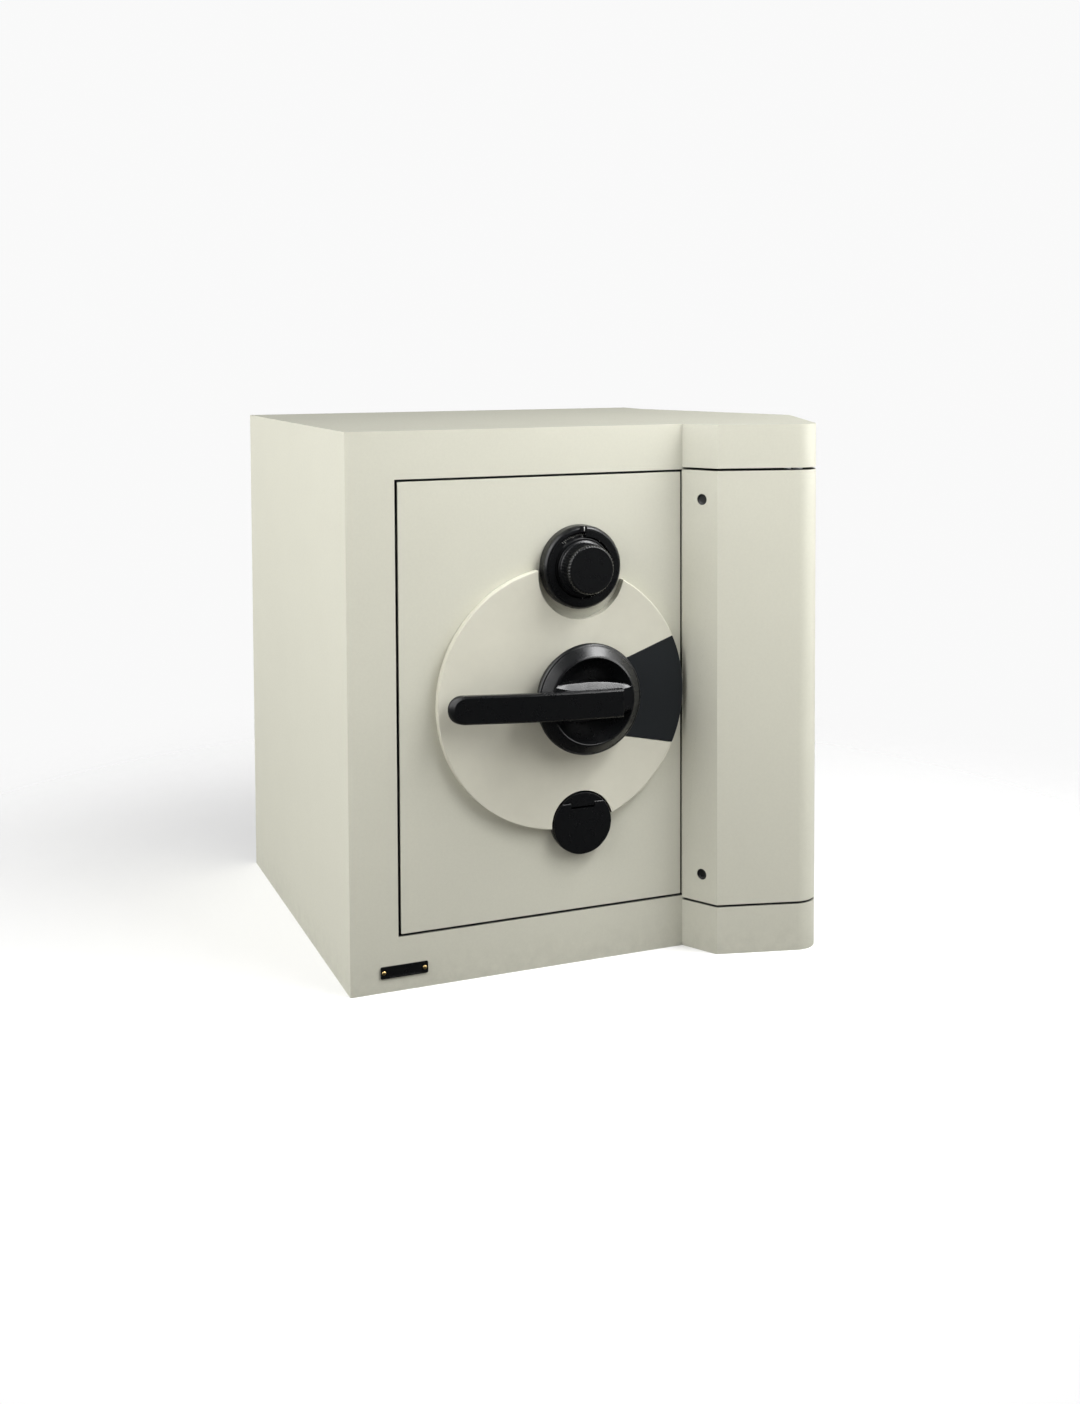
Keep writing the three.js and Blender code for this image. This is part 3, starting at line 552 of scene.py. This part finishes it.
# ---- handle ----
RIM_Y = -44.0  # the front of the hub's ring
RIM_RADIUS = 50.2
DISH = [
    (49.5, -43.6), (48.6, -42.0), (46.6, -38.6), (43.2, -34.0), (38.5, -29.6), (32.5, -25.8), (25.5, -22.9),
    (17, -20.8), (9, -19.8), (0, -19.5),
]
# Stations along the rib: x, height of its arched edge, height where its flank meets the front, y there.
RIB = [
    (-50, 20.6, 20.0, -44.2), (-46, 21.3, 19.4, -44.4), (-39, 21.8, 17.6, -45), (-30, 22.1, 15.4, -46),
    (-19, 22.3, 13.2, -47.2), (-6, 22.2, 11.8, -48), (7, 21.6, 11.2, -48.2), (19, 20.4, 11.1, -47.8),
    (27, 19.2, 11.2, -47), (36, 17.6, 11.6, -45.6), (43, 16.4, 12.8, -44.8), (49, 15.2, 14.4, -44.2),
]


def rib():
    """The bridge across the hub's dish, its flanks sloping back from the front to two arched edges."""
    loops = []
    for x, edge, flank, front in RIB:
        upper = [(front, flank), (RIM_Y + 1.5, edge - 0.9), (RIM_Y + 2.6, edge), (-17, edge - 1)]
        section = upper + [(y, -z) for y, z in reversed(upper)]
        loops.append([(x, y, z) for y, z in section])
    reach = RIM_RADIUS + 0.6
    room = turned("tool", [(0, -70), (reach, -70), (reach, -10), (0, -10)], HUB, 160)
    return combine(loft("tool", loops, HUB), room, "INTERSECT")


def handle():
    profile = [
        (0, -12), (57.5, -12), (57.5, -20), (59.5, -24.2), (62.6, -26.6), (64.0, -28.0), (64.7, -29.6),
        (64.7, -31.4), (64.2, -32.8), (63.2, -33.9), (62.6, -34.2), (62.2, -34.0), (61.6, -34.4),
        (61.2, -35.2), (56.0, -39.7), (52.6, -42.6), (51.4, -43.5), (RIM_RADIUS, RIM_Y), *DISH,
    ]
    hub = turned("handle_hub_body", profile, HUB, 200)
    combine(hub, rib(), "UNION")
    settle(round_edges(hub, 0.5, 3, 24))
    finished(hub, "handle", ["handle_hub"], "black_plastic")
    lever()


LEVER_ROOT = 28.5
LEVER_LENGTH = 196.5
LEVER_HALF = 16.2
LEVER_THICKNESS = 10.0


def lever_front(x):
    """y of the lever's front face at x: it falls from root to tip in a slight bow."""
    t = (LEVER_ROOT - x) / LEVER_LENGTH
    return -66 + 38 * t - 6 * math.sin(math.pi * min(t, 1))


def lever():
    # Contours from front to back: inset of the edge, depth from the front face, x of the tip.
    contours = [
        (2.3, 0.0, -162.2), (2.0, 0.1, -162.7), (0.35, 1.75, -164.6), (0.1, 2.1, -165.2),
        (0.0, 2.6, -165.8), (0.0, 3.4, -166.6), (0.0, 4.6, -167.8), (0.0, 6.2, -168.2),
        (0.0, 8.0, -167.4), (0.4, 9.0, -166.4), (1.1, 9.7, -165.4), (2.2, LEVER_THICKNESS, -164.2),
    ]
    stations = 72
    tip_round = 16.0
    bm = bmesh.new()
    rings = []
    for inset, depth, tip in contours:
        root = LEVER_ROOT - 0.5 * inset
        upper = []
        for i in range(stations + 1):
            u = i / stations
            x = root + (tip - root) * (1 - (1 - u) ** 2.2) if i else root
            past = max(0.0, (tip + tip_round) - x) / tip_round
            half = (LEVER_HALF - inset) * math.sqrt(max(0.0, 1 - min(past, 1.0) ** 2.3))
            upper.append((x, half))
        points = upper[:-1] + [(upper[-1][0], 0.0)] + [(x, -h) for x, h in upper[-2::-1]]
        rings.append([bm.verts.new(HUB + Vector((x, lever_front(x) + depth, z)) * MM) for x, z in points])
    for a, b in zip(rings, rings[1:]):
        for k in range(len(a)):
            j = (k + 1) % len(a)
            bm.faces.new([a[k], a[j], b[j], b[k]])
    for ring in (rings[0], rings[-1]):
        count = len(ring)
        for k in range(stations - 1):
            bm.faces.new([ring[k], ring[k + 1], ring[count - 2 - k], ring[count - 1 - k]])
        bm.faces.new([ring[stations - 1], ring[stations], ring[stations + 1]])
    bar = new_piece("handle_lever_bar", bm)
    neck_front = [(-38, -48.8), (24, -48.8), (24, -58), (-34, -53)]
    combine(bar, prism_up("tool", neck_front, (-9.5, 9.5), HUB), "UNION")
    settle(round_edges(bar, 0.25, 2, 50))
    finished(bar, "handle", ["handle_lever"], "black_plastic")


# ---- key cover ----
COVER_RADIUS = 36.5
COVER_FRONT = -12.0
PIN_Z = 23.4
PIN_Y = -10.4
TONGUE_HALF = 14.0
BARREL_START = TONGUE_HALF + 0.8


def key_cover():
    base_profile = [
        (10.8, -0.3), (35.9, -0.3), (COVER_RADIUS, -0.9), (COVER_RADIUS, -7.8), (35.9, -8.4), (23, -8.4),
        (22, -7.6), (22, -3.2), (10.8, -3.2),
    ]
    base = turned("key_escutcheon_body", base_profile, KEY, 160)
    cap_profile = [
        (0, COVER_FRONT), (35.2, COVER_FRONT), (36.1, COVER_FRONT + 0.4), (COVER_RADIUS, COVER_FRONT + 1.4),
        (COVER_RADIUS, -8), (0, -8),
    ]
    cap = turned("tool", cap_profile, KEY, 160)
    cap = combine(cap, block("tool", (-40, 40), (-20, 0), (25.8, 40), KEY), "INTERSECT")
    tongue = block("tool", (-TONGUE_HALF, TONGUE_HALF), (COVER_FRONT, -3), (20.6, 30), KEY)
    for added in (cap, tongue):
        combine(base, added, "UNION")
    hinge_room = rod_x("tool", 2.1, (-26.5, -TONGUE_HALF), (PIN_Y, PIN_Z), KEY)
    other_room = rod_x("tool", 2.1, (TONGUE_HALF, 26.5), (PIN_Y, PIN_Z), KEY)
    cut(base, hinge_room, other_room)
    settle(round_edges(base, 0.35, 3, 35))
    finished(base, "door", ["key_escutcheon"], "black_plastic")

    leaf_profile = [
        (0, COVER_FRONT - 0.2), (20, COVER_FRONT - 0.15), (32, COVER_FRONT + 0.05),
        (35.2, COVER_FRONT + 0.3), (36.0, COVER_FRONT + 0.8), (36.3, COVER_FRONT + 1.6), (36.0, -8.9),
        (0, -8.9),
    ]
    leaf = turned("key_cover_leaf", leaf_profile, KEY, 160)
    combine(leaf, block("tool", (-40, 40), (-20, 0), (-40, PIN_Z), KEY), "INTERSECT")
    cut(leaf, block("tool", (-BARREL_START, BARREL_START), (-20, 0), (18.2, 40), KEY))
    for span in ((-26, -BARREL_START), (BARREL_START, 26)):
        combine(leaf, rod_x("tool", 1.6, span, (PIN_Y, PIN_Z), KEY), "UNION")
    settle(round_edges(leaf, 0.35, 3, 35))
    finished(leaf, "key_cover", ["key_cover_flap"], "black_plastic")


# ---- small fixings ----
def id_plate():
    """A blank pressed plate held by two domed rivets."""
    low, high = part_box("serial_plate")
    middle = Vector(((low.x + high.x) / 2, high.y, (low.z + high.z) / 2))
    half_x, half_z = (high.x - low.x) / 2 / MM, (high.z - low.z) / 2 / MM
    pressed = plate("id_plate_blank", rounded_rectangle(half_x, half_z, 1.6), (-1.1, 0), middle)
    panel = rounded_rectangle(half_x - 9.5, half_z - 1.6, 1.0)
    cut(pressed, plate("tool", panel, (-2, -0.85), middle))
    settle(round_edges(pressed, 0.22, 2, 40))
    finished(pressed, "safe_body", ["serial_plate"], "black_plastic")
    for side in ("left", "right"):
        node = f"plate_rivet_{side}"
        seat = middle_of(node)
        seat.y = middle.y
        head = [
            (0, -2.85), (0.9, -2.75), (1.7, -2.4), (2.25, -1.9), (2.5, -1.35), (2.5, -1.15),
            (1.2, -1.1), (1.2, 0), (0, 0),
        ]
        dome = turned(f"id_plate_rivet_{side}", head, seat, 48)
        finished(dome, "safe_body", [node], "brass")


def turn_piece(piece, pivot, degrees):
    """Turns a piece's mesh about the upright axis through a point."""
    turn = Matrix.Rotation(math.radians(degrees), 4, "Z")
    piece.data.transform(Matrix.Translation(pivot) @ turn @ Matrix.Translation(-pivot))
    return piece


PLUG_WAY = Vector((-0.866, -0.4995, 0))  # square to the column's chamfer


def column_plugs():
    """Snap-in plugs with a shallow dish and a raised rim."""
    for side in ("top", "bottom"):
        node = f"column_plug_{side}"
        face = middle_of(node) + PLUG_WAY * 2.45 * MM
        profile = [
            (0, 0.5), (3.6, 0.45), (4.6, 0.2), (5.2, -0.15), (5.9, -0.2), (6.25, 0.15), (6.3, 0.6),
            (6.3, 4.8), (0, 4.8),
        ]
        plug = turned(f"column_plug_{side}_cap", profile, face, 96)
        turn_piece(plug, face, -60)
        finished(settle(round_edges(plug, 0.08, 2, 40)), "door", [node], "black_plastic")


def screw(name, origin, facing, body, radius=4.2, height=2.2):
    """A pan-head screw with a cross recess. facing is -1 towards the front or 1 towards the back."""
    crown = [
        (0, height), (radius * 0.45, height * 0.96), (radius * 0.75, height * 0.8),
        (radius * 0.95, height * 0.45), (radius, 0.1), (radius, 0),
    ]
    profile = [(r, facing * y) for r, y in crown] + [(0, 0)]
    head = turned(name, profile, origin, 40)
    slot = radius * 0.55
    ys = sorted((facing * height * 0.45, facing * (height + 1)))
    thin, wide = (-0.45, 0.45), (-slot, slot)
    cut(head, block("tool", wide, ys, thin, origin), block("tool", thin, ys, wide, origin))
    finished(settle(round_edges(head, 0.1, 2, 40)), body, [], "bright_steel")


SCREW_MARGIN = 0.009  # metres from the cover's edges


def cover_screws():
    """Screws that hold the boltwork's back cover to the pan."""
    low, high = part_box("back_cover")
    xs = [low.x + SCREW_MARGIN, (low.x + high.x) / 2, high.x - SCREW_MARGIN]
    third = (high.z - low.z) / 3
    zs = [low.z + SCREW_MARGIN, low.z + third, high.z - third, high.z - SCREW_MARGIN]
    places = [(x, z) for z in zs for x in xs if z in (zs[0], zs[-1]) or x != xs[1]]
    for number, (x, z) in enumerate(places, 1):
        screw(f"cover_screw_{number}", Vector((x, high.y, z)), 1, "door")


# ---- camera, light and floor ----
def camera():
    """Stands front left, a little above the safe's top. Its frame is 36 mm high."""
    yaw, pitch, roll = 0.38245, 0.05159, -0.00462
    lens, shift = 40.648, -0.19373
    stand = (-0.7313, -1.9333, 0.72062)
    right = Vector((math.cos(yaw), -math.sin(yaw), 0))
    level = Vector((math.sin(yaw), math.cos(yaw), 0))
    up = Vector((0, 0, 1))
    ahead = level * math.cos(pitch) - up * math.sin(pitch)
    over = up * math.cos(pitch) + level * math.sin(pitch)
    side = right * math.cos(roll) + over * math.sin(roll)
    top = over * math.cos(roll) - right * math.sin(roll)
    data = bpy.data.cameras.new("camera")
    data.sensor_width = 36
    data.lens = lens
    data.shift_y = shift
    eye = bpy.data.objects.new("camera", data)
    bpy.context.scene.collection.objects.link(eye)
    turn = Matrix((side, top, -ahead)).transposed().to_4x4()
    eye.matrix_world = Matrix.Translation(stand) @ turn
    bpy.context.scene.camera = eye


def softbox(name, place_at, aim, size, power):
    data = bpy.data.lights.new(name, "AREA")
    data.shape = "RECTANGLE"
    data.size, data.size_y = size
    data.energy = power
    lamp = bpy.data.objects.new(name, data)
    bpy.context.scene.collection.objects.link(lamp)
    lamp.location = place_at
    lamp.visible_camera = False
    lamp.rotation_euler = (Vector(aim) - Vector(place_at)).to_track_quat("-Z", "Y").to_euler()


SAFE_MIDDLE = (0, 0, 0.32)
LAMPS = {  # place, size in metres, power in watts
    "left_wall": ((-3.0, -0.6, 1.6), (3.2, 2.6), 80),
    "left_top": ((-2.0, -0.6, 2.8), (2.2, 2.2), 40),
    "right_side": ((2.4, -1.3, 1.5), (1.8, 1.8), 40),
    "right_front": ((1.4, -2.4, 1.9), (1.6, 1.6), 18),
    "back_left": ((-2.4, 1.6, 1.2), (1.8, 1.8), 24),
    "overhead": ((0.9, -0.72, 1.75), (0.9, 0.5), 24),
    "overhead_front": ((0.6, -1.3, 1.75), (0.8, 0.5), 8),
}


def studio():
    for name, (place_at, size, power) in LAMPS.items():
        softbox(name, place_at, SAFE_MIDDLE, size, power)
    world = bpy.data.worlds.new("studio")
    world.use_nodes = True
    light = world.node_tree.nodes["Background"]
    light.inputs["Color"].default_value = (0.97, 0.98, 1.0, 1)
    light.inputs["Strength"].default_value = 0.04
    bpy.context.scene.world = world
    bpy.context.scene.view_settings.view_transform = "Standard"
    paper_floor()
    dark_floor()
    backdrop()


FLOOR_CLEAR = 0.42  # metres from the middle: where the floor begins to fade into the backdrop
FLOOR_GONE = 1.25


def floor_disc(name, radius, z):
    bm = bmesh.new()
    bmesh.ops.create_circle(bm, cap_ends=True, segments=96, radius=radius)
    bmesh.ops.translate(bm, verts=bm.verts, vec=(0, 0, z))
    made = new_piece(name, bm)
    if made.data.polygons[0].normal.z < 0:
        made.data.flip_normals()
    return made


def paper_floor():
    """The pale paper that the camera sees. It fades into the backdrop, and throws no light back."""
    paper = floor_disc("floor", FLOOR_GONE, 0)
    material, tree, shader = material_nodes("floor_paper")
    where = place(tree)
    grain = noise(tree, where, 3.0, 2.0, 0.5)
    base = blended(tree, grain, (0.86, 0.86, 0.86, 1), (0.88, 0.88, 0.88, 1))
    tree.links.new(base, shader.inputs["Base Color"])
    shader.inputs["Roughness"].default_value = 0.9
    shader.inputs["Emission Color"].default_value = (1, 1, 1, 1)
    shader.inputs["Emission Strength"].default_value = 0.1
    distance = add(tree, "ShaderNodeVectorMath", {0: where}, operation="LENGTH").outputs["Value"]
    limits = {"Value": distance, "From Min": FLOOR_CLEAR, "From Max": FLOOR_GONE}
    limits |= {"To Min": 1.0, "To Max": 0.0}
    fade = add(tree, "ShaderNodeMapRange", limits, interpolation_type="SMOOTHSTEP")
    tree.links.new(fade.outputs["Result"], shader.inputs["Alpha"])
    paper.data.materials.append(material)
    paper.visible_diffuse = False
    paper.visible_glossy = False


def dark_floor():
    """The floor that throws light back at the safe: dimmer than the one that the camera sees."""
    dim = floor_disc("floor_bounce", 6.0, -0.001)
    material, tree, shader = material_nodes("floor_dim")
    shader.inputs["Base Color"].default_value = (0.34, 0.325, 0.30, 1)
    shader.inputs["Roughness"].default_value = 0.9
    dim.data.materials.append(material)
    dim.visible_camera = False
    dim.visible_glossy = False
    dim.visible_shadow = False


def backdrop():
    """A plain white surround, seen by the camera only."""
    bm = bmesh.new()
    bmesh.ops.create_uvsphere(bm, u_segments=48, v_segments=24, radius=25)
    dome = new_piece("backdrop", bm)
    material = bpy.data.materials.new("backdrop_white")
    material.use_nodes = True
    tree = material.node_tree
    glow = add(tree, "ShaderNodeEmission", {"Color": (1, 1, 1, 1), "Strength": 0.95})
    tree.links.new(glow.outputs[0], tree.nodes["Material Output"].inputs["Surface"])
    dome.data.materials.append(material)
    dome.visible_diffuse = False
    dome.visible_glossy = False
    dome.visible_shadow = False


camera()
studio()
dress_frame()
trim()
dial()
handle()
key_cover()
id_plate()
column_plugs()
cover_screws()
